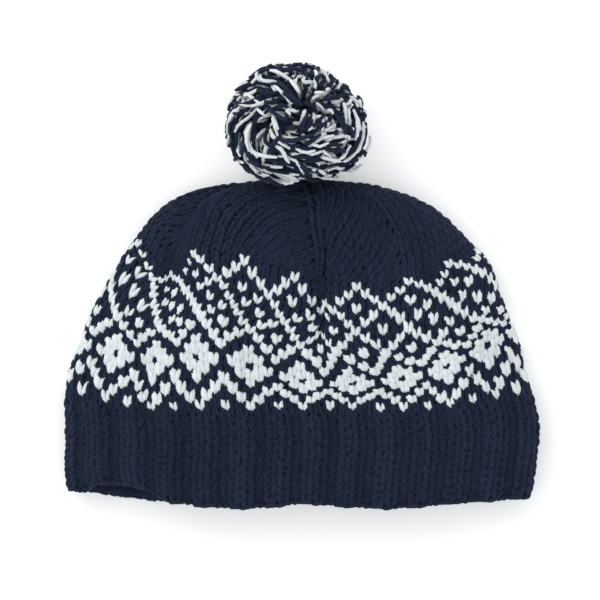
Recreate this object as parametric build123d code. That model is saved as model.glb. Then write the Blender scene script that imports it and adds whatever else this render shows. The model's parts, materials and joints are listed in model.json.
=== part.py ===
from build123d import *
import math
import os

# A knitted bobble hat lying flat on its back layer. Millimetres.
# +X runs across the hat, +Y from the cast-on edge to the pom-pom, and +Z up off the surface it lies on.
# The origin is on that surface, at the middle of the hat and pom-pom together.

# Driving dimensions
OVERALL_LENGTH = 245.0  # from the cast-on edge to the far side of the pom-pom
HAT_LENGTH = 179.5  # from the cast-on edge to the end of the crown
WALL = 4.5  # thickness of the knitted fabric
FLOAT_LAYER = 1.0  # the part of the wall that the stranded contrast yarn takes up, on the inside
SHELL_LAYER = WALL - FLOAT_LAYER

CAST_ON_ROWS = 5.0  # height of each zone along the hat, from the cast-on edge up
RIB_END = 50.0
ROSETTE_END = 97.0
TRELLIS_END = 137.0

GATHER_HEIGHT = 9.5  # height of the gathered hole at the end of the crown
GATHER_HOLE_R = 6.0
DRAWSTRING_RING_R = 4.6  # the tail of yarn pulled tight through the last stitches
DRAWSTRING_YARN_R = 1.2
DRAWSTRING_DEPTH = 2.2  # how far the ring lies inside the crown's end
PIVOT_STANDOFF = 0.4  # how far the tether bends outside the crown's end

POMPOM_HALF = (39.6, 33.3, 33.5)  # half sizes along X, Y and Z
POMPOM_FLAT = 25.5  # from the ball's middle to the flat where its strands lie against the crown
POMPOM_WEDGES = 12  # the two yarns were wound together, so they alternate round the ball
CORE_R = 9.0  # the hollow at the middle of the ball, where the tie bites

TETHER_YARN_R = 1.6  # the tie's tails, twisted together
TETHER_BORE_R = 2.4
TIE_RING_R = 4.6
TIE_YARN_R = 1.6
STOP_BEAD_R = 3.4  # the knot that keeps the ball on its tether
STOP_BEAD_REACH = 4.8  # how far it lies beyond the tie
KNUCKLE_R = 2.0  # where the tails bend as they leave the crown
KNUCKLE_GAP = 0.6
INNER_KNOT_R = 3.8  # the knot tied inside the crown
INNER_KNOT_REACH = 14.0

# Stations along the hat: distance from the cast-on edge, half width, thickness, and height of the side folds
STATIONS = (
    (0.0, 124.5, 30.0, 10.0),
    (12.0, 128.3, 31.0, 10.0),
    (40.0, 130.0, 33.0, 10.5),
    (70.0, 126.2, 35.0, 11.0),
    (100.0, 116.5, 36.0, 11.5),
    (125.0, 104.0, 34.5, 11.5),
    (145.0, 90.0, 31.5, 11.0),
    (160.0, 74.5, 28.0, 10.5),
    (170.0, 59.0, 24.5, 10.0),
    (176.0, 43.0, 21.5, 9.7),
    (HAT_LENGTH, 22.0, 19.0, GATHER_HEIGHT),
)
SUNK = 1.0  # how far the form reaches below the surface before its flat underside is cut
ROLL = 1.7  # width of the roll at a side fold, in fold heights
ELLIPSE_HANDLE = 0.5523  # handle length of a Bezier curve that follows a quarter ellipse

CAST_ON_Y = -OVERALL_LENGTH / 2
CROWN_END_Y = CAST_ON_Y + HAT_LENGTH
DRAWSTRING = Vector(0, CROWN_END_Y - DRAWSTRING_DEPTH, GATHER_HEIGHT)
PIVOT = Vector(0, CROWN_END_Y + PIVOT_STANDOFF, GATHER_HEIGHT)
BALL = Vector(0, OVERALL_LENGTH / 2 - POMPOM_HALF[1], POMPOM_HALF[2])
TETHER_LENGTH = (BALL - PIVOT).length
TETHER_DIRECTION = (BALL - PIVOT).normalized()
INWARD = Vector(0, -1, 0)
MARGIN = 10.0  # how far a cutting box reaches past the hat


def quarter_ellipse(start, end, corner):
    """A curve from start to end that turns a quarter, inside the given corner."""
    start, end, corner = Vector(*start), Vector(*end), Vector(*corner)
    return Bezier(
        start, start + (corner - start) * ELLIPSE_HANDLE, end + (corner - end) * ELLIPSE_HANDLE, end
    )


def cross_section(y, half_width, base, top, fold):
    """The hat's outline across X: flat below, rolled at both side folds and arched above."""
    roll = half_width - min(ROLL * fold, half_width / 2)
    outline = [
        Line((-roll, y, base), (roll, y, base)),
        quarter_ellipse((roll, y, base), (half_width, y, fold), (half_width, y, base)),
        quarter_ellipse((half_width, y, fold), (0, y, top), (half_width, y, top)),
        quarter_ellipse((0, y, top), (-half_width, y, fold), (-half_width, y, top)),
        quarter_ellipse((-half_width, y, fold), (-roll, y, base), (-half_width, y, base)),
    ]
    return Wire(outline)


def hat_form(inset):
    """The hat as one closed form, set in from its outside by the given thickness but open at the mouth."""
    shorten = 1 - inset / HAT_LENGTH
    base = inset if inset else -SUNK
    sections = [
        cross_section(CAST_ON_Y + along * shorten, half_width - inset, base, thickness - inset, fold)
        for along, half_width, thickness, fold in STATIONS
    ]
    return Solid.make_loft(sections)


def slab(start, end):
    """A box standing on the surface, across the whole hat between two distances from its cast-on edge."""
    width = 2 * (max(half_width for _, half_width, _, _ in STATIONS) + MARGIN)
    height = max(thickness for _, _, thickness, _ in STATIONS) + MARGIN
    return Pos(0, CAST_ON_Y + (start + end) / 2, height / 2) * Box(width, end - start, height)


def tube_along(start, direction, length, radius):
    """A round bar from a start point along a direction."""
    return Plane(origin=start, z_dir=direction) * Cylinder(
        radius, length, align=(Align.CENTER, Align.CENTER, Align.MIN)
    )


def ball_at(centre, radius):
    return Pos(*centre) * Sphere(radius)


def ring_at(centre, direction, radius, yarn_radius):
    return Plane(origin=centre, z_dir=direction) * Torus(radius, yarn_radius)


def make_hat():
    """The knitted tube in its zones, with the contrast yarn's floats as a layer on the inside."""
    outside, middle, inside = hat_form(0), hat_form(SHELL_LAYER), hat_form(WALL)
    fabric = outside - inside
    ground = outside - middle
    gather_hole = tube_along(PIVOT, INWARD, MARGIN, GATHER_HOLE_R)
    return {
        "cast_on_edge": fabric & slab(0, CAST_ON_ROWS),
        "rib_brim": fabric & slab(CAST_ON_ROWS, RIB_END),
        "rosette_band": ground & slab(RIB_END, ROSETTE_END),
        "trellis_band": ground & slab(ROSETTE_END, TRELLIS_END),
        "contrast_yarn_floats": (middle - inside) & slab(RIB_END, TRELLIS_END),
        "crown": (fabric & slab(TRELLIS_END, HAT_LENGTH + MARGIN)) - gather_hole,
        "crown_drawstring": ring_at(DRAWSTRING, INWARD, DRAWSTRING_RING_R, DRAWSTRING_YARN_R),
    }


def make_tether():
    """The tie's tails: knotted inside the crown, bent at the gathered hole, and run to the ball's middle."""
    inner_knot = (
        ball_at(PIVOT, KNUCKLE_R)
        + tube_along(PIVOT, INWARD, INNER_KNOT_REACH, TETHER_YARN_R)
        + ball_at(PIVOT + INWARD * INNER_KNOT_REACH, INNER_KNOT_R)
    )
    start = KNUCKLE_R + KNUCKLE_GAP
    reach = TETHER_LENGTH + STOP_BEAD_REACH
    tether = tube_along(
        PIVOT + TETHER_DIRECTION * start, TETHER_DIRECTION, reach - start, TETHER_YARN_R
    ) + ball_at(PIVOT + TETHER_DIRECTION * reach, STOP_BEAD_R)
    return {"tether_knot": inner_knot, "pompom_tether": tether}


def strand_wedge(ball, number):
    """One of the wedges of cut strands round the tether's line."""
    reach = 2 * max(POMPOM_HALF)
    half_turn = math.pi / POMPOM_WEDGES
    corner_x, corner_y = reach * math.cos(half_turn), reach * math.sin(half_turn)
    outline = Polyline((0, 0), (corner_x, -corner_y), (corner_x, corner_y), (0, 0))
    prism = extrude(make_face(outline), reach, both=True)
    turned = Rot(0, 0, 360 * number / POMPOM_WEDGES) * prism
    return ball & (Plane(origin=BALL, z_dir=TETHER_DIRECTION) * turned)


def make_pompom():
    """The ball of cut strands in two yarns, and the tie round its waist."""
    ball = Pos(*BALL) * scale(Sphere(1), by=POMPOM_HALF)
    ball -= ball_at(BALL, CORE_R)
    ball -= tube_along(PIVOT, TETHER_DIRECTION, TETHER_LENGTH, TETHER_BORE_R)
    ball -= tube_along(BALL - TETHER_DIRECTION * POMPOM_FLAT, -TETHER_DIRECTION, POMPOM_FLAT, POMPOM_HALF[0])
    wedges = [strand_wedge(ball, number) for number in range(POMPOM_WEDGES)]
    return {
        "pompom_navy_strands": Compound([w.solid() for w in wedges[0::2]]),
        "pompom_white_strands": Compound([w.solid() for w in wedges[1::2]]),
        "pompom_tie": ring_at(BALL, TETHER_DIRECTION, TIE_RING_R, TIE_YARN_R),
    }


def write_parts():
    os.makedirs("parts", exist_ok=True)
    for name, shape in {**make_hat(), **make_tether(), **make_pompom()}.items():
        export_step(shape, f"parts/{name}.step")
        print(f"{name}: {shape.volume:.0f} mm3")
    print(f"tether bends at {tuple(PIVOT)} and runs along {tuple(TETHER_DIRECTION)}")


write_parts()
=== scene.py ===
import json
import math

import bpy
import numpy as np
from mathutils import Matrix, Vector


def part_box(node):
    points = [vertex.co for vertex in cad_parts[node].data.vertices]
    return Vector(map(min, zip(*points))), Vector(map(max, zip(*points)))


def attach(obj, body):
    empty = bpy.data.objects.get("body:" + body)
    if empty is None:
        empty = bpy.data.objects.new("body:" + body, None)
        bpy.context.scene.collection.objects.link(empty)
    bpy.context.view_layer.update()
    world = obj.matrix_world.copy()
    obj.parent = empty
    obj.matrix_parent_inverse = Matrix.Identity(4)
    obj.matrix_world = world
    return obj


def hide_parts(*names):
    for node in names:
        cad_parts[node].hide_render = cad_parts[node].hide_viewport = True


# A knitted bobble hat, stitch by stitch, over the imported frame. Lengths here are in millimetres,
# and every mesh is written in metres. Distances along the hat are from its cast-on edge.

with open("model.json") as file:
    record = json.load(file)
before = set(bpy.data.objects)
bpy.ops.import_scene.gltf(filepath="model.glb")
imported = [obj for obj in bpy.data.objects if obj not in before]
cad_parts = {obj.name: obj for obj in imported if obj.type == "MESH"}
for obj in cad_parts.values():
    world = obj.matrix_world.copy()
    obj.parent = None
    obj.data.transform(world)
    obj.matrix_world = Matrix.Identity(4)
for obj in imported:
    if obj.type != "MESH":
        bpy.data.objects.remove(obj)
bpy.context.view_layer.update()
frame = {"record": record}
METRE = 1000.0  # in millimetres
rng = np.random.default_rng(21)  # for the knitting
strand_rng = np.random.default_rng(13)  # for the pom-pom


def box_mm(node):
    low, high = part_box(node)
    return np.array(low) * METRE, np.array(high) * METRE


# ----- places taken from the frame
EDGE_Y = box_mm("cast_on_edge")[0][1]
CROWN_END = box_mm("crown")[1][1] - EDGE_Y
RING_LOW, RING_HIGH = box_mm("crown_drawstring")
RING_CENTRE = (RING_LOW + RING_HIGH) / 2
RING_YARN_R = (RING_HIGH[1] - RING_LOW[1]) / 2
RING_R = (RING_HIGH[0] - RING_LOW[0]) / 2 - RING_YARN_R
BALL_LOW = np.minimum(box_mm("pompom_navy_strands")[0], box_mm("pompom_white_strands")[0])
BALL_HIGH = np.maximum(box_mm("pompom_navy_strands")[1], box_mm("pompom_white_strands")[1])
BALL_HALF = (BALL_HIGH - BALL_LOW) / 2
BALL_HALF[1] = BALL_HALF[2] - 0.2  # its whole size, as the crown cuts its box short
BALL = np.array([0.0, BALL_HIGH[1] - BALL_HALF[1], (BALL_LOW[2] + BALL_HIGH[2]) / 2])
JOINTS = {joint["name"]: joint for joint in frame["record"]["behaviour"]["joints"]}
PIVOT = np.array(JOINTS["pompom_lift"]["pos_m"]) * METRE
TETHER = (BALL - PIVOT) / np.linalg.norm(BALL - PIVOT)

# ----- the knitting
STITCHES = 120  # round the hat above the rib
REPEAT = 6  # stitches in one repeat of the chart
RIB_STITCHES = 108
RIB_REPEAT = 4  # two knit, two purl
RIB_ROWS = 12
CHART_START = 13  # the first charted row
CROWN_START = 33
CROWN_TOP = 40  # the rows from here on are a piece of their own
LAST_ROW = 52
WEDGES = 8  # the crown's decreases
CHART = (  # from the bottom row up: x is the contrast yarn
    "x..x..", ".x...x", "..x.x.", "x..x..", "xx...x", ".xx.xx", "xx...x", "x..x..", "..x.x.", ".x...x",
    "x..x..", ".x...x", "..x.x.", "x..x..", "..x.x.", ".x...x", "x..x..", ".x...x", "..x.x.", "...x..",
)
ROSETTE_ROWS = 11  # the lower rows of the chart, which the rosette band holds

# Stations along the hat: distance, widths left and right of the middle, heights of the front and the folds
LEFT, RIGHT, FRONT, FOLD = 1, 2, 3, 4  # the columns of the table after the distance
STATIONS = np.array((
    (0, 119.5, 121.5, 27.0, 9.5), (12, 124.2, 127.2, 28.8, 9.8), (24, 125.4, 128.6, 30.0, 10.0),
    (42, 124.8, 130.8, 31.0, 10.3), (54, 125.6, 129.2, 31.6, 10.5), (72, 125.6, 122.0, 33.0, 10.8),
    (87, 119.4, 119.0, 33.8, 11.1), (103, 114.0, 112.8, 34.2, 11.3), (119, 105.8, 107.4, 33.6, 11.3),
    (136, 96.0, 100.4, 31.6, 11.1), (144, 90.6, 92.2, 30.2, 10.9), (152, 83.0, 82.8, 28.4, 10.6),
    (160, 74.4, 74.6, 26.4, 10.3), (168, 63.0, 64.6, 23.8, 10.0), (176, 47.0, 48.5, 20.5, 9.6),
))
# How the rows lie: for each row number, its distances at the places across the hat
ROW_X = np.array((-132, -105, -80, -55, -28, 0, 28, 55, 80, 105, 132), float)
ROW_NUMBERS = np.array((0, 12, 13.4, 18.4, 20.4, 23.4, 29.4, 33.0))
ROW_DISTANCES = np.array((
    (12.0, 7.2, 4.4, 2.4, 1.8, 2.8, 1.8, 2.0, 2.8, 4.6, 8.5),
    (60.0, 55.0, 51.0, 51.5, 51.0, 51.0, 51.0, 50.8, 52.0, 56.0, 61.0),
    (70.0, 62.5, 56.5, 57.5, 57.0, 57.2, 57.0, 56.5, 58.3, 62.8, 69.0),
    (96.0, 86.5, 81.6, 83.4, 78.6, 70.0, 68.5, 71.0, 78.3, 91.5, 105.0),
    (104.5, 95.0, 89.6, 92.4, 87.0, 77.5, 74.5, 77.5, 84.5, 98.5, 113.0),
    (116.0, 106.0, 101.0, 105.5, 98.5, 89.5, 86.0, 86.0, 93.0, 106.5, 122.0),
    (145.0, 138.0, 132.5, 129.0, 120.0, 111.5, 109.0, 113.0, 121.5, 138.0, 156.0),
    (158.0, 151.5, 146.0, 142.5, 137.0, 129.0, 123.5, 124.5, 135.0, 155.0, 178.0),
))
# For each row number, the stitches left and right of the middle of the front, and its wales' lean right
ROW_SPREAD = np.array((
    (30.0, 30.0, 1.0), (30.0, 29.8, 1.5), (30.0, 29.6, 2.0), (29.6, 29.2, 0.5), (29.0, 28.6, 0.0),
    (27.6, 27.2, 0.5), (23.8, 22.6, 8.5), (22.6, 21.8, 11.0),
))
# Where the front's rows dip: how far, place and size across the hat, and the rows where that grows
DIPS = ((2.5, 9.5, 9, 22, 33), (14.5, -72, 10, 19, 33))
# Hollows in the slack front: depth, place and size across the hat, and place and size along it
HOLLOWS = (
    (4.5, -55, 13, 156, 13), (2.0, 62, 16, 150, 14), (2.2, 6, 10, 138, 22),
    (4.5, 9.5, 4.5, 114, 19), (3.0, -69, 9, 130, 15),
)
BACK_HEIGHT = 3.9  # the back layer's middle surface above the floor
FRONT_POWER, BACK_POWER = 2.3, 6  # how squarely the front and back layers turn in to the side folds
FOLD_SEARCH = (20.0, 132.0)  # every row's side folds lie within this much of the middle
BODY_BLUR, CROWN_BLUR = 9.0, 14.0  # how widely the wales' spacing evens out at the side folds
UNEVENNESS = 0.9  # how far the front's gentle swells and sinks go
RIB_RELIEF = 1.5  # how far the rib's knit stitches stand out, and its purl ones in
RIB_SQUARENESS = 1.8
RIB_PRESSED = 0.75  # the share of the rib's relief that is left underneath
CROWN_SWELL = 0.8  # how far the crown's wedges stand out
EDGE_RAISE, EDGE_WAVE = 7.5, 0.8  # how far up the hat the front's cast-on edge is raised, and waves
RAISED_FROM, RAISED_TO = (-119, -108), (-92, -68)  # across the hat, as it climbs and falls
EDGE_ROWS = (0, 9)  # over which this evens out

# How the wales of the crown run in to the gathered ring, as handles of their curves
RING_STANDOFF = 1.2  # they end this far outside the middle of the drawstring
CROWN_HANDLE = 22.0  # along the bands' wales
RING_HANDLE = 64.0  # out to the sides from the ring
RING_DIP, RING_TOP_DIP = 1.2, 4.0  # down the hat from the ring, and how much more at its top and bottom
FRONT_ROLL, BACK_ROLL = 15.0, 3.0  # above and below the ring


def smooth_curve(x, xs, ys):
    """A curve through the points (xs, ys), with slopes from their neighbours."""
    slopes = np.gradient(ys, xs)
    i = np.clip(np.searchsorted(xs, x, side="right") - 1, 0, len(xs) - 2)
    gap = xs[i + 1] - xs[i]
    t = np.clip((x - xs[i]) / gap, 0, 1)
    rise = ys[i] * (1 + 2 * t) * (1 - t) ** 2 + ys[i + 1] * t * t * (3 - 2 * t)
    return rise + gap * t * (1 - t) * (slopes[i] * (1 - t) - slopes[i + 1] * t)


def station(distance, column):
    return smooth_curve(distance, STATIONS[:, 0], STATIONS[:, column])


def row_distance(row, x, drawn=1.0):
    """How far from the cast-on edge a row lies at places across the hat, with a share of its dips."""
    shape = np.array([smooth_curve(row, ROW_NUMBERS, distances) for distances in ROW_DISTANCES.T])
    dips = sum(deep * bump(x, place, size) * ease(row, low, high) for deep, place, size, low, high in DIPS)
    return smooth_curve(x, ROW_X, shape) - drawn * dips


def row_spread(row, column):
    return smooth_curve(row, ROW_NUMBERS, ROW_SPREAD[:, column])


def bump(value, centre, width):
    return np.exp(-(((value - centre) / width) ** 2))


def ease(value, start, end):
    t = np.clip((value - start) / (end - start), 0, 1)
    return t * t * (3 - 2 * t)


def superellipse(share, power):
    return np.clip(1 - np.abs(share) ** power, 0, 1) ** (1 / power)


def fold_x(row, side):
    """Where a row reaches the side fold, found by halving the stretch that it lies in."""
    low, high = FOLD_SEARCH
    for _ in range(40):
        middle = (low + high) / 2
        half_width = station(row_distance(row, side * middle), LEFT if side < 0 else RIGHT)
        low, high = (middle, high) if half_width > middle else (low, middle)
    return side * low


def row_loop(row, samples=360):
    """The closed curve of one row of the body, from the left fold over the front and back underneath."""
    left, right = fold_x(row, -1), fold_x(row, 1)
    swing = np.cos(np.linspace(math.pi, 0, samples))
    x = (left + right) / 2 + (right - left) / 2 * swing
    distance = row_distance(row, x)
    share = np.clip(x / np.where(x < 0, station(distance, LEFT), station(distance, RIGHT)), -1, 1)
    fold = station(distance, FOLD)
    over = fold + (station(distance, FRONT) - fold) * superellipse(share, FRONT_POWER)
    flatness = superellipse(share, BACK_POWER)
    under = fold - (fold - BACK_HEIGHT) * flatness
    front = np.stack([x, distance, over], 1)
    back = np.stack([x, row_distance(row, x, 1 - flatness), under], 1)[::-1]
    return front, back


def lengths_along(points):
    steps = np.linalg.norm(np.diff(points, axis=0), axis=1)
    return np.concatenate([[0.0], np.cumsum(steps)])


def periodic_blur(values, reach):
    """Smooths values that repeat, over a reach counted in samples."""
    waves = np.fft.rfftfreq(len(values))
    return np.fft.irfft(np.fft.rfft(values) * np.exp(-2 * (math.pi * waves * reach) ** 2), len(values))


GRID_STEP = 6  # grid lines in one row, and in one stitch
GRID_COLUMNS = GRID_STEP * STITCHES


def body_row(row, columns):
    """Points on one row of the body at the given stitches, 0 being the middle of the front."""
    front, back = row_loop(row)
    loop = np.concatenate([front, back[1:]])
    along = lengths_along(loop)
    front_length, whole = lengths_along(front)[-1], along[-1]
    left, right, lean = (row_spread(row, column) for column in range(3))
    wrapped = (columns + left) % STITCHES
    on_front = wrapped <= left + right
    across = wrapped / (left + right)
    place = np.where(
        on_front,
        across * front_length + lean * 4 * across * (1 - across),
        front_length + (wrapped - left - right) / (STITCHES - left - right) * (whole - front_length),
    )
    even = (columns + left) / STITCHES * whole
    turns = np.round((even - place) / whole)
    drift = place + turns * whole - even
    place = (even + periodic_blur(drift, BODY_BLUR)) % whole
    return np.stack([np.interp(place, along, loop[:, axis]) for axis in range(3)], 1)


def crown_grid(start, start_direction, columns, rows):
    """Wales that run from the last charted row to the gathered ring."""
    left, right = row_spread(CROWN_START, 0), row_spread(CROWN_START, 1)
    wrapped = (columns + left) % STITCHES
    turn = np.where(
        wrapped <= left + right,
        math.pi - math.pi * wrapped / (left + right),
        -math.pi * (wrapped - left - right) / (STITCHES - left - right),
    )
    turn = np.unwrap(turn)
    drift = turn + 2 * math.pi * columns / STITCHES
    turn = periodic_blur(drift, CROWN_BLUR) - 2 * math.pi * columns / STITCHES
    across, up = np.cos(turn), np.sin(turn)
    level = np.full_like(across, RING_CENTRE[1] - EDGE_Y + RING_STANDOFF)
    ring = np.stack([RING_R * across, level, RING_CENTRE[2] + RING_R * up], 1)
    roll = np.where(up > 0, FRONT_ROLL, BACK_ROLL)
    pull = np.stack([RING_HANDLE * across, -RING_DIP - RING_TOP_DIP * np.abs(up), roll * up], 1)
    handles = [start, start + start_direction * CROWN_HANDLE, ring + pull, ring]
    t = np.linspace(0, 1, 80)[:, None, None]
    weights = ((1 - t) ** 3, 3 * t * (1 - t) ** 2, 3 * t * t * (1 - t), t ** 3)
    curve = sum(weight * handle[None] for weight, handle in zip(weights, handles))
    steps = np.linalg.norm(np.diff(curve, axis=0), axis=2)
    along = np.concatenate([np.zeros((1, len(columns))), np.cumsum(steps, axis=0)])
    share = (rows - CROWN_START) / (LAST_ROW - CROWN_START)
    result = np.empty((len(rows), len(columns), 3))
    for i in range(len(columns)):
        place = share * along[-1, i]
        for axis in range(3):
            result[:, i, axis] = np.interp(place, along[:, i], curve[:, i, axis])
    return result


def rib_height(column):
    """The rib's relief across its columns: two knit stitches out, two purl ones in."""
    wave = np.cos(2 * math.pi * (column * RIB_STITCHES / STITCHES - 1) / RIB_REPEAT)
    return RIB_RELIEF * np.tanh(RIB_SQUARENESS * wave) / math.tanh(RIB_SQUARENESS)


def slow_noise(u, v, seed, waves=9):
    """A smooth field that wanders between about -1 and 1 and repeats round the hat."""
    source = np.random.default_rng(seed)
    total = np.zeros(np.broadcast(u, v).shape)
    for _ in range(waves):
        around, upward = source.integers(1, 9), source.uniform(0.04, 0.35)
        phase = source.uniform(0, 2 * math.pi, 2)
        total += np.sin(2 * math.pi * around * u / STITCHES + phase[0]) * np.sin(upward * v + phase[1])
    return total * 1.4 / math.sqrt(waves)


class Fabric:
    """The hat's middle surface, looked up by stitch round the hat and row up it."""

    def __init__(self):
        columns = np.arange(GRID_COLUMNS) * STITCHES / GRID_COLUMNS
        body_rows = np.arange(0, CROWN_START + 1e-6, 1 / GRID_STEP)
        crown_rows = np.arange(CROWN_START, LAST_ROW + 1e-6, 1 / GRID_STEP)
        body = np.stack([body_row(row, columns) for row in body_rows])
        direction = body[-1] - body[-3]
        direction /= np.linalg.norm(direction, axis=1, keepdims=True)
        points = np.concatenate([body, crown_grid(body[-1], direction, columns, crown_rows)[1:]])
        self.rows = np.concatenate([body_rows, crown_rows[1:]])
        u, v = np.meshgrid(columns, self.rows)
        points = self.smooth_up(points)
        points[..., 2] = np.maximum(points[..., 2], BACK_HEIGHT)  # the back layer rests on the floor
        normals = self.normals_of(points)
        front = ease(normals[..., 2], 0.0, 0.8)
        rib = 1 - ease(v, RIB_ROWS - 1.0, RIB_ROWS + 1.6)
        lift = rib_height(u) * rib * np.where(normals[..., 2] < -0.5, RIB_PRESSED, 1.0)
        uneven = UNEVENNESS * slow_noise(u, v, seed=5) * ease(v, 2, 8)
        lift += front * (uneven - self.dents(points) + self.ridges(u, v))
        points = points + normals * lift[..., None]
        points[..., 1] += front * self.raised_edge(points[..., 0], v)
        points[..., 1] += EDGE_Y
        self.points = points
        self.normals = self.normals_of(points)

    @staticmethod
    def smooth_up(points):
        """Rounds the change of slope where the crown begins."""
        result = points.copy()
        for _ in range(24):
            result[1:-1] += 0.25 * (result[2:] - 2 * result[1:-1] + result[:-2])
        return result

    @staticmethod
    def dents(points):
        """How deep the hollows are, where the crown has sunk in or the fabric is puckered."""
        x, y = points[..., 0], points[..., 1]
        return sum(
            depth * bump(x, across, wide) * bump(y, along, long)
            for depth, across, wide, along, long in HOLLOWS
        )

    @staticmethod
    def ridges(u, v):
        """The wedges of the crown swell a little between their lines of decreases."""
        swell = ease(v, CROWN_START, CROWN_START + 7) * (1 - ease(v, LAST_ROW - 5, LAST_ROW))
        return CROWN_SWELL * np.cos(2 * math.pi * u * WEDGES / STITCHES) * swell

    @staticmethod
    def raised_edge(x, v):
        """The front's edge sits higher than the back's on the left, and waves a little."""
        raised = EDGE_RAISE * ease(x, *RAISED_FROM) * (1 - ease(x, *RAISED_TO))
        return (raised + EDGE_WAVE * np.sin(x / 13.0 + 1.0)) * (1 - ease(v, *EDGE_ROWS))

    @staticmethod
    def normals_of(points):
        along_row = np.roll(points, -1, axis=1) - np.roll(points, 1, axis=1)
        up = np.gradient(points, axis=0)
        normals = np.cross(along_row, up)
        return normals / np.maximum(np.linalg.norm(normals, axis=2, keepdims=True), 1e-9)

    def stitch_width(self, column, row):
        """The width of one stitch of the grid at a place."""
        near, _ = self.at(column - 0.5, row)
        far, _ = self.at(column + 0.5, row)
        return np.linalg.norm(far - near, axis=-1)

    def shear(self, column, row, slant):
        """How many rows a step of one stitch sideways climbs along its neighbour's column."""
        across = self.at(column + 0.5, row)[0] - self.at(column - 0.5, row)[0]
        up = self.at(column + slant / 2, row + 0.5)[0] - self.at(column - slant / 2, row - 0.5)[0]
        return (across * up).sum(-1) / (up * up).sum(-1)

    def at(self, column, row, lift=0.0):
        """Points at stitches and rows, lifted off the middle surface along its normal."""
        column, row, lift = np.broadcast_arrays(column, row, lift)
        place = np.asarray(row, float) * GRID_STEP
        inside = np.clip(place, 0, len(self.rows) - 1.001)
        low = inside.astype(int)
        upward = (inside - low)[..., None]
        round_place = (np.asarray(column, float) % STITCHES) * GRID_COLUMNS / STITCHES
        left = np.floor(round_place).astype(int) % GRID_COLUMNS
        sideways = (round_place - np.floor(round_place))[..., None]
        right = (left + 1) % GRID_COLUMNS

        def mixed(table):
            below = table[low, left] * (1 - sideways) + table[low, right] * sideways
            above = table[low + 1, left] * (1 - sideways) + table[low + 1, right] * sideways
            return below * (1 - upward) + above * upward, above - below

        point, step = mixed(self.points)
        normal, _ = mixed(self.normals)
        normal /= np.linalg.norm(normal, axis=-1, keepdims=True)
        beyond = (place - inside)[..., None]
        return point + step * beyond + normal * np.asarray(lift)[..., None], normal


fabric = Fabric()


# ----- yarn
def unit(vectors):
    return vectors / np.maximum(np.linalg.norm(vectors, axis=-1, keepdims=True), 1e-9)


CAP_REACH = 0.6  # how far a tube's closed end bulges, in radii


class Yarns:
    """A mesh of many lengths of yarn, each a plied tube along its own line."""

    def __init__(self):
        self.points, self.faces, self.tints, self.rings, self.count = [], [], [], [], 0

    def add(self, lines, normals, radii, tints, sides=6, ply=0.0, twist=0.0):
        """lines is (n, rings, 3), normals the same, radii (n, rings), tints (n). Both ends are closed."""
        n, rings, _ = lines.shape
        along = unit(np.gradient(lines, axis=1))
        side = unit(np.cross(along, normals))
        outward = np.cross(side, along)
        angle = np.arange(sides) * 2 * math.pi / sides
        turned = angle[None, :] + (np.arange(rings) * twist)[:, None]
        lobes = 1 + ply * np.cos(3 * angle)[None, :]
        across = np.cos(turned) * lobes
        up = np.sin(turned) * lobes
        ring_points = (
            lines[:, :, None]
            + side[:, :, None] * (radii[:, :, None] * across[None])[..., None]
            + outward[:, :, None] * (radii[:, :, None] * up[None])[..., None]
        )
        cap = CAP_REACH * radii[:, [0, -1]]
        tips = [lines[:, 0] - along[:, 0] * cap[:, :1], lines[:, -1] + along[:, -1] * cap[:, 1:]]
        ends = np.stack(tips, 1)
        points = np.concatenate([ring_points.reshape(n, -1, 3), ends], 1)
        ring = np.arange(rings - 1)[:, None] * sides
        k = np.arange(sides)[None]
        after = (k + 1) % sides
        quads = np.stack([ring + k, ring + after, ring + sides + after, ring + sides + k], -1)
        first, last = rings * sides, rings * sides + 1
        start = np.stack([np.full(sides, first), after[0], k[0], k[0]], 1)
        top = (rings - 1) * sides
        end = np.stack([np.full(sides, last), top + k[0], top + after[0], top + after[0]], 1)
        faces = np.concatenate([quads.reshape(-1, 4), start, end])
        per = points.shape[1]  # points in one length of yarn
        offset = self.count + np.arange(n)[:, None, None] * per
        self.faces.append((faces[None] + offset).reshape(-1, 4))
        self.points.append(points.reshape(-1, 3))
        self.tints.append(np.repeat(tints, per))
        self.count += n * per

    def mesh(self, name):
        points = np.concatenate(self.points) / METRE
        return make_mesh(name, points, np.concatenate(self.faces), np.concatenate(self.tints))


def make_mesh(name, points, faces, tints=None):
    """A smooth mesh from points in metres and four-cornered faces. A repeated corner makes a triangle."""
    triangles = faces[:, 2] == faces[:, 3]
    corners = np.concatenate([faces[~triangles].ravel(), faces[triangles][:, :3].ravel()])
    sizes = np.concatenate([np.full((~triangles).sum(), 4), np.full(triangles.sum(), 3)])
    mesh = bpy.data.meshes.new(name)
    mesh.vertices.add(len(points))
    mesh.vertices.foreach_set("co", points.astype(np.float32).ravel())
    mesh.loops.add(len(corners))
    mesh.loops.foreach_set("vertex_index", corners.astype(np.int32))
    mesh.polygons.add(len(sizes))
    starts = np.concatenate([[0], np.cumsum(sizes)[:-1]])
    mesh.polygons.foreach_set("loop_start", starts.astype(np.int32))
    mesh.polygons.foreach_set("loop_total", sizes.astype(np.int32))
    mesh.polygons.foreach_set("use_smooth", np.ones(len(sizes), bool))
    mesh.update(calc_edges=True)
    if tints is not None:
        attribute = mesh.attributes.new("tint", "FLOAT", "POINT")
        attribute.data.foreach_set("value", tints.astype(np.float32))
    mesh.validate()
    made = bpy.data.objects.new(name, mesh)
    bpy.context.scene.collection.objects.link(made)
    return made


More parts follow.
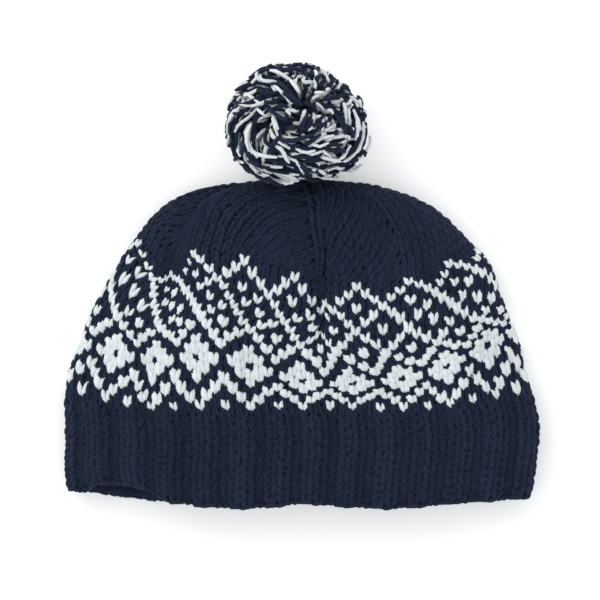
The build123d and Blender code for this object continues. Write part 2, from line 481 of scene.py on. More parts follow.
ARM_PLACES = (0, 0.17, 0.34, 0.5, 0.67, 0.84, 1)
ARM_PROFILE = (0.42, 0.84, 1.02, 1.04, 0.94, 0.70, 0.30)  # its share of the thickness at those places
ARM_RINGS = len(ARM_PLACES)
UPRIGHT = 0.7  # how much a stitch keeps its V upright where the rows slope
TUCKED = 0.35  # stitches drawn in to less of their width than this are hidden in the pleat
FULL_WIDTH, PINCHED = 4.2, 0.5  # below this width the yarn is pinched, down to this share of its thickness
PLY = 0.10  # the relief of the yarn's plies
PLY_TWIST, ARM_TWIST = 0.40, 0.42  # how far they turn from ring to ring
# An arm of a knit stitch, in stitches: where its foot is, and how far it spreads and bows
ARM_FOOT, ARM_SPREAD, ARM_BOW = 0.05, 0.43, 0.03
ARM_BELOW, ARM_CLIMB = -0.36, 1.74  # in rows: where it starts, and how far it climbs
ARM_SUNK, ARM_ARCH = -0.95, 1.6  # in millimetres from the fabric's middle
# How unevenly the arms are spread, placed, raised, thick and leaning
SPREAD_NOISE, CLIMB_NOISE, RISE_NOISE, YARN_NOISE, LEAN_NOISE = 0.07, 0.09, 0.16, 0.08, 0.05
# How the tint drifts up the columns and over the hat, and changes from loop to loop
STREAKS, PATCHES, LOOP_TINT = 0.26, 0.12, 0.14
# Half thickness of a stitch's arm
RIB_KNIT, RIB_PURL, CAST_ON, CAST_ON_INSIDE, PLAIN = 1.42, 1.3, 1.3, 1.2, 1.2
GROUND, DOT, ROSETTE, TRELLIS = 1.30, 1.42, 1.88, 1.50
CROWN_ARM, CROWN_THINNING = 1.42, 0.32


def arm_radii(count, thickness):
    """A stitch's arm is leaf-shaped: plump in the middle and drawn in at its ends."""
    profile = np.interp(np.linspace(0, 1, ARM_RINGS), ARM_PLACES, ARM_PROFILE)
    return profile[None] * np.broadcast_to(np.asarray(thickness, float), (count,))[:, None]


def shade_of(column, row):
    """Each stitch's tint, which drifts up the columns and differs from loop to loop."""
    streaks = STREAKS * slow_noise(4 * column, 0.6 * row, seed=31)
    patches = PATCHES * slow_noise(column, row, seed=32)
    return np.clip(0.5 + streaks + patches + rng.normal(0, LOOP_TINT, len(column)), 0, 1)


def knit_stitches(yarns, column, row, width, thickness, outside=1.0, slant=0.0):
    """V-shaped knit stitches, from their feet's places, their width in stitches and their slant."""
    count = len(column)
    t = np.linspace(0, 1, ARM_RINGS)[None]
    lean = slant + LEAN_NOISE * rng.normal(0, 1, count)
    shear = (fabric.shear(column, row, slant) * width)[:, None]
    for side in (-1, 1):
        wander = rng.normal(0, 1, (count, 4))
        spread = ARM_FOOT + ARM_SPREAD * t ** 0.8 + ARM_BOW * np.sin(math.pi * t)
        across = side * spread * (1 + SPREAD_NOISE * wander[:, :1])
        upward = ARM_BELOW + ARM_CLIMB * t + CLIMB_NOISE * wander[:, 1:2] - UPRIGHT * shear * across
        rise = ARM_SUNK + ARM_ARCH * np.sin(math.pi * (0.08 + 0.84 * t)) + RISE_NOISE * wander[:, 2:3]
        place = column[:, None] + across * width[:, None] + lean[:, None] * (upward - 0.5)
        lines, normals = fabric.at(place, row[:, None] + upward, outside * rise)
        snug = np.clip(fabric.stitch_width(column, row) * width / FULL_WIDTH, PINCHED, 1.0)
        radii = arm_radii(count, thickness * (1 + YARN_NOISE * wander[:, 3]) * snug)
        yarns.add(lines, normals, radii, shade_of(column, row), ply=PLY, twist=ARM_TWIST * side)


def purl_bumps(yarns, column, row, width, thickness, outside=1.0):
    """The humps of purl stitches, arching across their column."""
    count = len(column)
    t = np.linspace(0, 1, ARM_RINGS)[None]
    wander = rng.normal(0, 1, (count, 3))
    across = (t - 0.5) * 1.06 * width[:, None]
    upward = 0.10 + 0.34 * np.sin(math.pi * t) + 0.05 * wander[:, :1]
    rise = -0.9 + 1.1 * np.sin(math.pi * t) + 0.12 * wander[:, 1:2]
    lines, normals = fabric.at(column[:, None] + across, row[:, None] + upward, outside * rise)
    radii = arm_radii(count, thickness * (1 + 0.06 * wander[:, 2]))
    yarns.add(lines, normals, radii, shade_of(column, row), ply=PLY, twist=PLY_TWIST)


RIB_DRAW, RIB_SPREAD = 0.20, 0.30  # how far the rib's stitches shift and spread, in their own widths
RIB_ROW_STEP = 0.985  # a row of the rib, in rows of the body


def rib_column(number):
    """Where a rib stitch lies, in stitches of the body: the knit pairs spread and the purl ones draw in."""
    drawn = number + RIB_DRAW * np.sin(2 * math.pi * (number - 1) / RIB_REPEAT)
    return drawn * STITCHES / RIB_STITCHES


def rib_width(number):
    """The width of a rib stitch, in stitches of the body."""
    spread = 1 + RIB_SPREAD * np.cos(2 * math.pi * (number - 1) / RIB_REPEAT)
    return spread * STITCHES / RIB_STITCHES


def grid_of(numbers, rows):
    """The stitch and the row of every stitch in a field of them, row by row."""
    across, up = np.meshgrid(numbers, rows)
    return across.ravel().astype(float), up.ravel().astype(float)


def make_rib(outside):
    """The rib as seen from outside (1) or inside (-1), where its knit and purl columns change places."""
    yarns = Yarns()
    numbers, rows = grid_of(np.arange(RIB_STITCHES), np.arange(0, RIB_ROWS))
    knit = (numbers % RIB_REPEAT < 2) == (outside > 0)
    column, width = rib_column(numbers + 0.5), rib_width(numbers + 0.5)
    if outside < 0:
        width = 2 * STITCHES / RIB_STITCHES - width
    row = rows * RIB_ROW_STEP + 0.5 + 0.05 * slow_noise(column, rows, seed=3)
    knit_stitches(yarns, column[knit], row[knit], width[knit], RIB_KNIT, outside)
    purl_bumps(yarns, column[~knit], row[~knit], width[~knit], RIB_PURL, outside)
    return yarns


# How the columns stray sideways, by rows and by stitches from the front's middle
BUNCHED_ROWS = (19, 5)
BUNCHES = ((0.9, -25, 5), (-1.4, -10, 6))  # how far, where and over what width
PLEAT_STITCHES = 4.6  # how many the pleat right of the middle takes up
PLEAT_ROWS, PLEAT_START, PLEAT_END = (18.5, 29.5), (-0.2, 6.2), (30, 58)
PUCKERS = ((4.4, -24.5, -12), (0.6, -12, 2))  # how far, and between which stitches that runs out
PUCKER_ROWS, PUCKER_START = (21, 31), (-58, -34)
SETTLING_ROWS = (40, 50)  # where the pleat and the pucker run out up the crown


def wander_of(column, row):
    """How far the columns of stitches stray sideways, in stitches.

    They bunch low on the left of the middle. Higher up, a pleat on its right tucks some away, and a pucker
    at the upper left gathers others. Both grow up the bands and fade away up the crown and round the back.
    """
    from_middle = (column + STITCHES / 2) % STITCHES - STITCHES / 2
    bunches = sum(far * bump(from_middle, place, width) for far, place, width in BUNCHES)
    bunched = bump(row, *BUNCHED_ROWS) * bunches
    pleat = ease(row, *PLEAT_ROWS) * ease(from_middle, *PLEAT_START) * (1 - ease(from_middle, *PLEAT_END))
    gathered = sum(far * (1 - ease(from_middle, start, end)) for far, start, end in PUCKERS)
    pucker = ease(row, *PUCKER_ROWS) * ease(from_middle, *PUCKER_START) * gathered
    drawn = (pucker - PLEAT_STITCHES * pleat) * (1 - ease(row, *SETTLING_ROWS))
    uneven = 0.20 * slow_noise(column, row, seed=11) + 0.12 * slow_noise(3 * column, 2 * row, seed=12)
    return bunched + drawn + uneven


def strayed(column, row, share=1.0):
    """Where a stitch lies once its column has strayed, the width left to it, and its slant."""
    place = column + share * wander_of(column, row)
    width = 1 + share * (wander_of(column + 0.5, row) - wander_of(column - 0.5, row))
    slant = share * (wander_of(column, row + 0.5) - wander_of(column, row - 0.5))
    return place, width, slant


def charted(number, row):
    """Whether stitches are knitted in the contrast yarn."""
    return np.array([CHART[int(r)][int(c) % REPEAT] == "x" for c, r in zip(number, row)])


def make_band(rows, contrast):
    """The charted stitches of one yarn, over the given rows of the chart."""
    yarns = Yarns()
    numbers, chart_rows = grid_of(np.arange(STITCHES), rows)
    chosen = charted(numbers, chart_rows) == contrast
    numbers, chart_rows = numbers[chosen], chart_rows[chosen]
    row = CHART_START + chart_rows
    plump = np.select([chart_rows == 0, chart_rows < ROSETTE_ROWS], [DOT, ROSETTE], TRELLIS)
    thickness = plump if contrast else np.full(len(row), GROUND)
    uneven = row + 0.07 * rng.normal(0, 1, len(row))
    column, width, slant = strayed(numbers, row)
    seen = width > TUCKED
    knit_stitches(yarns, column[seen], uneven[seen], width[seen], thickness[seen], slant=slant[seen])
    return yarns


LAST_STITCHES = 1.2  # in each wedge of the crown, at its gathered end


def stitches_left(row):
    """How many stitches a wedge of the crown has left at a row."""
    whole = STITCHES / WEDGES
    gone = ((row - CROWN_START) / (LAST_ROW - CROWN_START)) ** 0.92
    return max(whole - (whole - LAST_STITCHES) * gone, LAST_STITCHES)


def make_crown(rows):
    """Plain rows that narrow to the gathered ring: each wedge loses stitches at its left-hand line."""
    yarns = Yarns()
    whole = STITCHES / WEDGES
    for row in rows:
        left, later = stitches_left(row), stitches_left(row + 1)
        index = np.arange(max(int(round(left)), 1)) + 0.5
        wedge = np.arange(WEDGES)[:, None] * whole - 0.5
        column = (wedge + index / left * whole).ravel()
        slant = np.tile(index * whole * (1 / later - 1 / left), WEDGES)
        share = 1 - 0.5 * (row - CROWN_START) / (LAST_ROW - CROWN_START)
        place, narrowed, drift = strayed(column, row, share)
        thickness = CROWN_ARM - CROWN_THINNING * ease(row, LAST_ROW - 8, LAST_ROW)
        seen = narrowed > TUCKED
        level, width = np.full(seen.sum(), row + 0.05), narrowed[seen] * whole / left
        knit_stitches(yarns, place[seen], level, width, thickness, slant=(slant + drift)[seen])
    return yarns


def make_plain_row():
    """The plain row between the rib and the chart."""
    yarns = Yarns()
    numbers, rows = grid_of(np.arange(STITCHES), [RIB_ROWS + 0.1])
    knit_stitches(yarns, numbers + wander_of(numbers, rows), rows, np.ones(len(numbers)), PLAIN)
    return yarns


def make_cast_on():
    """The cast-on edge: for each rib stitch a slanted loop, crossed by one the other way on the inside."""
    yarns = Yarns()
    count = RIB_STITCHES
    numbers = np.arange(count) + 0.5
    column, width = rib_column(numbers)[:, None], rib_width(numbers)[:, None]
    t = np.linspace(0, 1, ARM_RINGS)[None]
    wander = rng.normal(0, 1, (count, 3))
    across = (t - 0.5) * 1.25 * width + 0.08 * wander[:, :1]
    upward = 0.02 + 0.42 * t + 0.05 * wander[:, 1:2]
    rise = 1.25 * np.sin(math.pi * t) - 0.3
    for side, thickness in ((1, CAST_ON), (-1, CAST_ON_INSIDE)):
        lines, normals = fabric.at(column + side * across, upward, side * rise)
        radii = arm_radii(count, thickness)
        yarns.add(lines, normals, radii, rng.uniform(0, 1, count), ply=PLY, twist=PLY_TWIST)
    return yarns


FLOAT_DEPTH, FLOAT_SWAY = -3.1, 0.5  # where the strands run, and how that varies
FLOAT_R = 0.55
FLOAT_PLACES = (0.3, 0.75)  # in a row


def make_floats():
    """Strands that pass behind the charted rows, two for each row."""
    yarns = Yarns()
    steps = np.linspace(0, STITCHES, 2 * STITCHES + 1)
    for row in range(len(CHART)):
        for place in FLOAT_PLACES:
            depth = FLOAT_DEPTH + FLOAT_SWAY * np.sin(2 * math.pi * steps / REPEAT + row + 3 * place)
            level = CHART_START + row + place + 0.12 * np.sin(2 * math.pi * steps / 10 + 2 * row)
            lines, normals = fabric.at(steps[None], level[None], depth[None])
            yarns.add(lines, normals, np.full(lines.shape[:2], FLOAT_R), np.full(1, place), sides=5)
    return yarns


BACKING_OUTSIDE, BACKING_INSIDE = -0.9, -2.3  # where the inner ply lies from the middle surface


def make_backing():
    """The close inner ply of the fabric, which shuts the gaps between the stitches."""
    columns = np.linspace(0, STITCHES, 3 * STITCHES + 1)[:-1]
    rows = np.concatenate([[0.25], np.arange(0.75, LAST_ROW - 0.3, 0.5)])
    u, v = np.meshgrid(columns, rows)
    outer, _ = fabric.at(u, v, BACKING_OUTSIDE)
    inner, _ = fabric.at(u, v, BACKING_INSIDE)
    points = np.concatenate([outer.reshape(-1, 3), inner.reshape(-1, 3)])
    count, wide, high = len(columns) * len(rows), len(columns), len(rows)
    i, j = np.meshgrid(np.arange(wide), np.arange(high - 1))
    a, b = (j * wide + i).ravel(), (j * wide + (i + 1) % wide).ravel()
    sheet = np.stack([a, b, b + wide, a + wide], 1)
    k = np.arange(wide)
    after = (k + 1) % wide
    top = (high - 1) * wide
    rim = np.stack([k, k + count, after + count, after], 1)
    end = np.stack([top + k, top + after, top + after + count, top + k + count], 1)
    faces = np.concatenate([sheet, sheet[:, ::-1] + count, rim, end])
    return make_mesh("fabric_backing", points / METRE, faces, np.full(len(points), 0.5))


# ----- the pom-pom and its tether
PAIR_YARN, PAIR_OFFSET = 0.55, 0.52  # each yarn's radius and offset, as shares of the pair's radius
TETHER_R, TETHER_START = 1.6, 2.4  # the tether starts this far from its pivot
STOP_KNOT_REACH, STOP_KNOT_R = 4.8, 1.7  # the knot beyond the ball's middle
INNER_KNOT_R, KNOT_YARN_R = 2.2, 1.5
TAIL_STANDOFF = 1.2  # how far the inner knot's tails reach past the pivot
TIE_R, TIE_YARN_R, TIE_SPREAD = 4.6, 1.2, 1.1


def twisted_pair(yarns, line, radius, turns, strands=2):
    """Yarns twisted round each other along a line."""
    t = np.linspace(0, 1, len(line))
    along = unit(np.gradient(line, axis=0))
    side = unit(np.cross(along, np.array([1.0, 0.05, 0.0])))
    other = np.cross(along, side)
    radii = np.full((1, len(line)), radius * PAIR_YARN)
    for strand in range(strands):
        angle = 2 * math.pi * (turns * t + strand / strands)
        shift = side * np.cos(angle)[:, None] + other * np.sin(angle)[:, None]
        path = line + shift * radius * PAIR_OFFSET
        yarns.add(path[None], shift[None], radii, np.full(1, 0.3 + 0.3 * strand), sides=8)


def ring_path(centre, direction, radius, samples=49):
    """A closed circle of points, square to a direction."""
    side = unit(np.cross(direction, np.array([1.0, 0.0, 0.0])))
    angle = np.linspace(0, 2 * math.pi, samples)[:, None]
    return centre + (side * np.cos(angle) + np.cross(direction, side) * np.sin(angle)) * radius


def make_drawstring():
    """The tail of yarn that draws the crown's last stitches together."""
    yarns = Yarns()
    line = ring_path(RING_CENTRE, np.array([0.0, -1.0, 0.0]), RING_R)
    twisted_pair(yarns, line, RING_YARN_R, 7)
    return yarns


def make_tether():
    """The tie's tails, twisted together from the crown to the middle of the ball."""
    yarns = Yarns()
    reach = np.linalg.norm(BALL - PIVOT)
    distance = np.linspace(TETHER_START, reach + 1.5, 30)[:, None]
    twisted_pair(yarns, PIVOT + TETHER * distance, TETHER_R, 3)
    knot = PIVOT + TETHER * (reach + STOP_KNOT_REACH)
    for k, lean in enumerate((0.0, 1.1, 2.2)):
        direction = unit(TETHER + 0.5 * np.array([math.cos(lean), 0.3 * k, math.sin(lean)]))
        twisted_pair(yarns, ring_path(knot, direction, STOP_KNOT_R), KNOT_YARN_R, 3, strands=1)
    return yarns


def make_inner_knot():
    """The knot on the inside of the crown, and its tails from there to the pivot."""
    low, high = box_mm("tether_knot")
    yarns = Yarns()
    inside = np.array([0.0, low[1] + (high[0] - low[0]) / 2, PIVOT[2]])
    t = np.linspace(0, 1, 24)[:, None]
    tails = PIVOT + (inside - PIVOT) * t + TETHER * TAIL_STANDOFF * (1 - t) ** 2
    twisted_pair(yarns, tails, KNOT_YARN_R, 2)
    for lean in (0.0, 1.2, 2.4):
        direction = unit(np.array([math.cos(lean), 0.6, math.sin(lean)]))
        twisted_pair(yarns, ring_path(inside, direction, INNER_KNOT_R), 1.4, 3, strands=1)
    return yarns


def make_tie():
    """Two turns of yarn pulled tight round the strands' middle."""
    yarns = Yarns()
    for shift in (-TIE_SPREAD, TIE_SPREAD):
        twisted_pair(yarns, ring_path(BALL + TETHER * shift, TETHER, TIE_R), TIE_YARN_R, 6)
    return yarns


STRANDS = 1450
LOOSE_STRANDS = 26  # longer ones that trail over the crown's end
STRAND_RINGS = 14
STRAND_PLACES = (0, 0.5, 0.8, 0.93, 1.0)
STRAND_PROFILE = (0.5, 0.9, 1.12, 1.0, 0.72)  # their thickness at those places
NAVY_STRAND, WHITE_STRAND = 1.12, 0.95  # half thickness
WHITE_SHARE = 0.47
STRAND_PLY, STRAND_TWIST = 0.16, 0.5
TUBE_UP = np.array([0.9, 0.3, 0.1])  # the side that the strands' rings are set out from
BALL_INSET = 1.2  # the strands' middle lines end this far inside the ball's box
BALL_DRIFT = np.array([-2.2, -0.8, 0.0])  # the ball leans off its tether
PARTING = (0.22, 0.30, 1.0)  # the strands lean away from here
# How many degrees the strands turn away from the parting, at bearings round the ball
COMBED_BEARINGS = (-180, -135, -90, -45, 0, 45, 90, 135, 180)
COMBED_TURNS = (38, 95, 66, 24, 52, 66, 42, -8, 38)
# How unevenly the strands flow, bend and curl over the ball, and from one to the next
FLOW_WAVE, FLOW_NOISE = 0.34, 0.20
BEND_WAVE, BEND_NOISE = 0.18, 0.17
CURL_WAVE, CURL_NOISE = 0.35, 0.16
COMBING, COMBING_SLOPE = 0.50, 0.36  # how far they bend over, and how much less on the right
RIPPLE = 0.13
SHORTER = 0.20  # how much of the ball's radius they are cut short by at most
LOOSE_REACH = (0.98, 1.14)  # of the loose ones, in its radii
SHOULDER_DEPTH, SHOULDER = 0.09, (0.85, 0.42)  # its hollow shoulder: bearing and width
FLAT_START = 22.0  # from the ball's middle to where the crown begins to flatten it
FLAT_GIVE, LOOSE_GIVE = 3.6, 9.0  # how much further its even and loose strands then reach at most
# Strands that come nearer to the crown's end or to the floor than this are left out
CROWN_CLEARANCE, CROWN_HEIGHT = 3.0, 25.0
FLOOR_CLEARANCE = 1.6


def wave_field(directions, seed, fineness=2.2, waves=6):
    """A smooth field over the ball, in three parts, each between about -1 and 1."""
    source = np.random.default_rng(seed)
    total = np.zeros((len(directions), 3))
    for _ in range(waves):
        turned = directions @ source.normal(0, fineness, (3, 3))
        total += np.sin(turned + source.uniform(0, 2 * math.pi, 3))
    return total / math.sqrt(waves)


def strand_directions():
    """Where the strands point: evenly round the ball, and a few more towards the crown's end."""
    number = np.arange(STRANDS) + 0.5
    height = 1 - 2 * number / STRANDS
    turn = number * math.pi * (3 - math.sqrt(5))
    flat = np.sqrt(1 - height ** 2)
    spiral = np.stack([flat * np.cos(turn), flat * np.sin(turn), height], 1)
    even = unit(spiral + strand_rng.normal(0, 0.08, (STRANDS, 3)))
    bearing = np.radians(strand_rng.uniform(-150, -30, LOOSE_STRANDS))
    climb = strand_rng.uniform(-0.05, 0.5, LOOSE_STRANDS)
    loose = unit(np.stack([np.cos(bearing), np.sin(bearing), climb], 1))
    return np.concatenate([even, loose])


def ball_shape(direction):
    """The ball isn't quite round: squarer where it meets the crown, and hollow at one shoulder."""
    power = 1.95 + 0.95 * ease(-direction[..., 1:2], -0.3, 0.6)
    squarer = (np.abs(direction) ** power).sum(-1, keepdims=True) ** (-1 / power)
    bearing = np.arctan2(direction[..., 1:2], direction[..., 0:1])
    shoulder = bump(bearing, *SHOULDER) * (1 - np.abs(direction[..., 2:3]))
    return squarer * (1 - SHOULDER_DEPTH * shoulder)


def strand_lines(out):
    """Cut strands, out from the tie, then bent over and combed from the top in a swirl."""
    count = len(out)
    top = unit(np.array(PARTING))
    away = unit(out * (out @ top)[:, None] - top)
    from_top = np.arccos(np.clip(out @ top, -1, 1))[:, None]
    around = unit(np.cross(top, out))
    bearing = np.degrees(np.arctan2(out[:, 1], out[:, 0]))
    combed = np.radians(np.interp(bearing, COMBED_BEARINGS, COMBED_TURNS))[:, None]
    flow = away * np.cos(combed) + around * np.sin(combed)
    flow += FLOW_WAVE * wave_field(out, seed=3, fineness=3.0) + strand_rng.normal(0, FLOW_NOISE, (count, 3))
    flow = unit(flow - out * (flow * out).sum(1, keepdims=True))
    side = np.cross(out, flow)
    t = np.linspace(0, 1, STRAND_RINGS)[None, :, None]  # along each strand
    bend = (COMBING - COMBING_SLOPE * out[:, :1]) * ease(from_top, 0.1, 0.8)
    bend += BEND_WAVE * wave_field(out, seed=4)[:, :1] + strand_rng.normal(0, BEND_NOISE, (count, 1))
    bend = bend.clip(0.05, 1.1)[:, None]
    curl = CURL_WAVE * wave_field(out, seed=5)[:, :1] + strand_rng.normal(0, CURL_NOISE, (count, 1))
    lean = np.clip(t - 0.35, 0, 1) ** 1.25 * 1.7
    waves, phase = strand_rng.uniform(1.0, 2.0, (count, 1, 1)), strand_rng.uniform(0, 1, (count, 1, 1))
    ripple = RIPPLE * np.sin(2 * math.pi * (t * waves + phase))
    sideways = side[:, None] * (curl[:, None] * lean ** 2 + ripple * t)
    direction = unit(out[:, None] + flow[:, None] * lean * bend + sideways)
    reach = 1.0 - SHORTER * strand_rng.uniform(0, 1, (count, 1, 1)) ** 1.2
    reach[STRANDS:] = strand_rng.uniform(*LOOSE_REACH, (count - STRANDS, 1, 1))
    rise = 0.28 + 0.72 * (1 - (1 - t) ** 1.7)
    size = (BALL_HALF - BALL_INSET) * ball_shape(direction)
    return flattened(BALL + BALL_DRIFT * t + direction * size * rise * reach), direction


def flattened(lines):
    """Strands on the crown's side are pressed flat against it, so that the ball can swing."""
    depth = (lines - BALL) @ -TETHER
    past = np.maximum(depth - FLAT_START, 0.0)
    give = np.where(np.arange(len(lines)) < STRANDS, FLAT_GIVE, LOOSE_GIVE)[:, None]
    return lines + (past - give * np.tanh(past / give))[..., None] * TETHER


def well_mixed(places, share):
    """Which strands are white: each in turn takes the yarn that its neighbours have too little of."""
    distances = np.linalg.norm(places[:, None] - places[None], axis=2)
    nearest = np.argsort(distances, axis=1)[:, 1:8]
    white, settled = np.zeros(len(places), bool), np.zeros(len(places), bool)
    for i in strand_rng.permutation(len(places)):
        near = nearest[i][settled[nearest[i]]]
        white[i] = share * (len(near) + 1) - white[near].sum() + strand_rng.normal(0, 0.3) > 0.5
        settled[i] = True
    return white


def make_strands():
    """The ball's strands in the two yarns, without those that would run into the crown or the floor."""
    lines, outward = strand_lines(strand_directions())
    in_crown = (lines[..., 1] < EDGE_Y + CROWN_END + CROWN_CLEARANCE) & (lines[..., 2] < CROWN_HEIGHT)
    keep = ~in_crown.any(1) & (lines[..., 2].min(1) > FLOOR_CLEARANCE)
    lines, outward = lines[keep], outward[keep]
    count = len(lines)
    white = well_mixed(lines[:, -4], WHITE_SHARE)
    thickness = np.where(white, WHITE_STRAND, NAVY_STRAND) * strand_rng.uniform(0.86, 1.14, count)
    profile = np.interp(np.linspace(0, 1, STRAND_RINGS), STRAND_PLACES, STRAND_PROFILE)
    radii = thickness[:, None] * profile[None]
    tints = strand_rng.uniform(0, 1, count)
    normals = outward * 0.2 + TUBE_UP
    made = []
    for chosen in (~white, white):
        yarns = Yarns()
        yarns.add(
            lines[chosen], normals[chosen], radii[chosen], tints[chosen], ply=STRAND_PLY, twist=STRAND_TWIST
        )
        made.append(yarns)
    return made


# ----- materials
MOTTLE_SCALE, FIBRE_SCALE = 420.0, 2600.0  # noise cells in a metre, along the yarn and across its fibres
FIBRE_HEIGHT = 0.0003
TINT_SHARE, MOTTLE_SHARE = 0.55, 0.9  # how far a stitch's tint and the mottling go from dark to light
MOTTLE_START = -0.2


def set_inputs(node, values):
    for socket, value in values.items():
        node.inputs[socket].default_value = value


def wool(name, dark, light, sheen_tint, sheen, fibre_bump):
    """Matt woollen yarn: a tint for each stitch, mottling along it, fibres, and a soft sheen."""
    material = bpy.data.materials.new(name)
    material.use_nodes = True
    nodes, links = material.node_tree.nodes, material.node_tree.links
    shader = nodes["Principled BSDF"]
    set_inputs(shader, {
        "Roughness": 0.92, "Specular IOR Level": 0.18, "Sheen Weight": sheen,
        "Sheen Roughness": 0.55, "Sheen Tint": (*sheen_tint, 1),
    })
    tint = nodes.new("ShaderNodeAttribute")
    tint.attribute_name = "tint"
    place = nodes.new("ShaderNodeTexCoord")
    mottle = nodes.new("ShaderNodeTexNoise")
    set_inputs(mottle, {"Scale": MOTTLE_SCALE, "Detail": 3.0})
    links.new(place.outputs["Object"], mottle.inputs["Vector"])
    mixed = nodes.new("ShaderNodeMath")
    mixed.operation = "MULTIPLY_ADD"
    set_inputs(mixed, {1: TINT_SHARE})
    links.new(tint.outputs["Fac"], mixed.inputs[0])
    scaled = nodes.new("ShaderNodeMath")
    scaled.operation = "MULTIPLY_ADD"
    set_inputs(scaled, {1: MOTTLE_SHARE, 2: MOTTLE_START})
    links.new(mottle.outputs["Fac"], scaled.inputs[0])
    links.new(scaled.outputs["Value"], mixed.inputs[2])
    colour = nodes.new("ShaderNodeValToRGB")
    colour.color_ramp.elements[0].color = (*dark, 1)
    colour.color_ramp.elements[1].color = (*light, 1)
    links.new(mixed.outputs["Value"], colour.inputs["Fac"])
    links.new(colour.outputs["Color"], shader.inputs["Base Color"])
    fibres = nodes.new("ShaderNodeTexNoise")
    set_inputs(fibres, {"Scale": FIBRE_SCALE, "Detail": 2.0})
    links.new(place.outputs["Object"], fibres.inputs["Vector"])
    relief = nodes.new("ShaderNodeBump")
    set_inputs(relief, {"Strength": fibre_bump, "Distance": FIBRE_HEIGHT})
    links.new(fibres.outputs["Fac"], relief.inputs["Height"])
    links.new(relief.outputs["Normal"], shader.inputs["Normal"])
    return material


NAVY = wool(
    "navy_wool", dark=(0.0062, 0.0105, 0.0250), light=(0.0160, 0.0255, 0.0540),
    sheen_tint=(0.55, 0.68, 0.95), sheen=0.05, fibre_bump=0.6,
)
WHITE = wool(
    "white_wool", dark=(0.62, 0.665, 0.68), light=(0.86, 0.90, 0.91),
    sheen_tint=(0.9, 0.95, 1.0), sheen=0.25, fibre_bump=0.6,
)


def dress(piece, body, material, slot, *nodes):
    """Gives a piece its material and the body it rides on, and hides the CAD parts of the nodes that it
    stands for. Its slot is not used.
    """
    piece.data.materials.append(material)
    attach(piece, body)
    if nodes:
        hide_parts(*nodes)
    return piece


# ----- pieces
navy, white = (NAVY, "navy_yarn"), (WHITE, "white_yarn")
lower_rows, upper_rows = np.arange(ROSETTE_ROWS), np.arange(ROSETTE_ROWS, len(CHART))
crown_rows, top_rows = range(CROWN_START, CROWN_TOP), range(CROWN_TOP, LAST_ROW)
backing = dress(make_backing(), "hat", *navy)
knitted = [
    dress(make_cast_on().mesh("cast_on_yarn"), "hat", *navy, "cast_on_edge"),
    dress(make_rib(1.0).mesh("rib_stitches"), "hat", *navy, "rib_brim"),
    dress(make_rib(-1.0).mesh("rib_inner_stitches"), "hat", *navy, "rib_brim"),
    dress(make_plain_row().mesh("plain_round"), "hat", *navy, "rosette_band"),
    dress(make_band(lower_rows, False).mesh("rosette_navy_stitches"), "hat", *navy, "rosette_band"),
    dress(make_band(lower_rows, True).mesh("rosette_white_stitches"), "hat", *white, "rosette_band"),
    dress(make_band(upper_rows, False).mesh("trellis_navy_stitches"), "hat", *navy, "trellis_band"),
    dress(make_band(upper_rows, True).mesh("trellis_white_stitches"), "hat", *white, "trellis_band"),
    dress(make_floats().mesh("float_strands"), "hat", *white, "contrast_yarn_floats"),
    dress(make_crown(crown_rows).mesh("crown_stitches"), "hat", *navy, "crown"),
    dress(make_crown(top_rows).mesh("crown_top_stitches"), "hat", *navy, "crown"),
    dress(make_drawstring().mesh("drawstring_yarn"), "hat", *navy, "crown_drawstring"),
]
dress(make_tether().mesh("tether_yarn"), "tether", *navy, "pompom_tether")
dress(make_inner_knot().mesh("tether_knot_yarn"), "tether_tails", *navy, "tether_knot")
dress(make_tie().mesh("tie_yarn"), "pompom", *navy, "pompom_tie")
navy_strands, white_strands = make_strands()
dress(navy_strands.mesh("pompom_navy_yarn"), "pompom", *navy, "pompom_navy_strands")
dress(white_strands.mesh("pompom_white_yarn"), "pompom", *white, "pompom_white_strands")


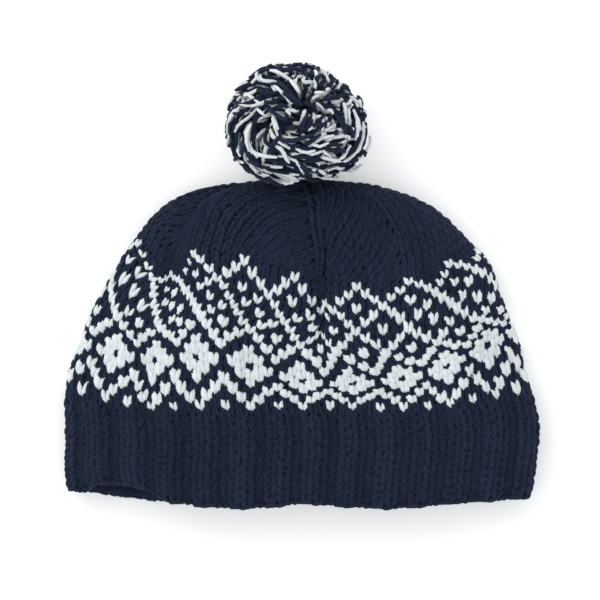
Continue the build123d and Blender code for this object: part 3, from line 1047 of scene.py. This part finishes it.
# ----- floor, light and camera
FLOOR_HALF = 3.0  # in metres, as everything below
FLOOR_GAP = 0.0003  # keeps the floor out of the yarn on it
CAMERA_LENS, CAMERA_SENSOR = 200.0, 36.0
VIEW_WIDTH = 0.328  # what the camera takes in at the height of VIEW_HEIGHT
VIEW_HEIGHT = 0.010
VIEW_CENTRE = (0.0, -0.0087)


def make_floor():
    x = np.array([-1, 1, 1, -1]) * FLOOR_HALF
    y = np.array([-1, -1, 1, 1]) * FLOOR_HALF
    corners = np.stack([x, y, np.full(4, -FLOOR_GAP)], 1)
    floor = make_mesh("floor", corners, np.array([[0, 1, 2, 3]]))
    material = bpy.data.materials.new("white_board")
    material.use_nodes = True
    set_inputs(material.node_tree.nodes["Principled BSDF"], {
        "Base Color": (0.9, 0.905, 0.9, 1), "Emission Color": (1, 1, 1, 1), "Emission Strength": 0.26,
        "Roughness": 0.9, "Specular IOR Level": 0.1,
    })
    floor.data.materials.append(material)


def add_light(name, place, aim, size, power):
    data = bpy.data.lights.new(name, "AREA")
    data.size, data.energy = size, power
    lamp = bpy.data.objects.new(name, data)
    lamp.location = place
    lamp.rotation_euler = (Vector(aim) - Vector(place)).to_track_quat("-Z", "Y").to_euler()
    bpy.context.scene.collection.objects.link(lamp)


def make_stage():
    """A white floor, soft light from the upper left, and a camera straight above the hat."""
    scene = bpy.context.scene
    make_floor()
    add_light("window", place=(-0.9, 0.9, 1.1), aim=(0, 0, 0), size=1.2, power=6.5)
    world = bpy.data.worlds.new("studio")
    world.use_nodes = True
    set_inputs(world.node_tree.nodes["Background"], {"Color": (0.97, 0.985, 1.0, 1), "Strength": 0.96})
    scene.world = world
    scene.view_settings.view_transform = "Standard"
    data = bpy.data.cameras.new("camera")
    data.lens, data.sensor_width = CAMERA_LENS, CAMERA_SENSOR
    data.clip_end = 20.0
    camera = bpy.data.objects.new("camera", data)
    camera.location = (*VIEW_CENTRE, VIEW_WIDTH * CAMERA_LENS / CAMERA_SENSOR + VIEW_HEIGHT)
    scene.collection.objects.link(camera)
    scene.camera = camera


make_stage()
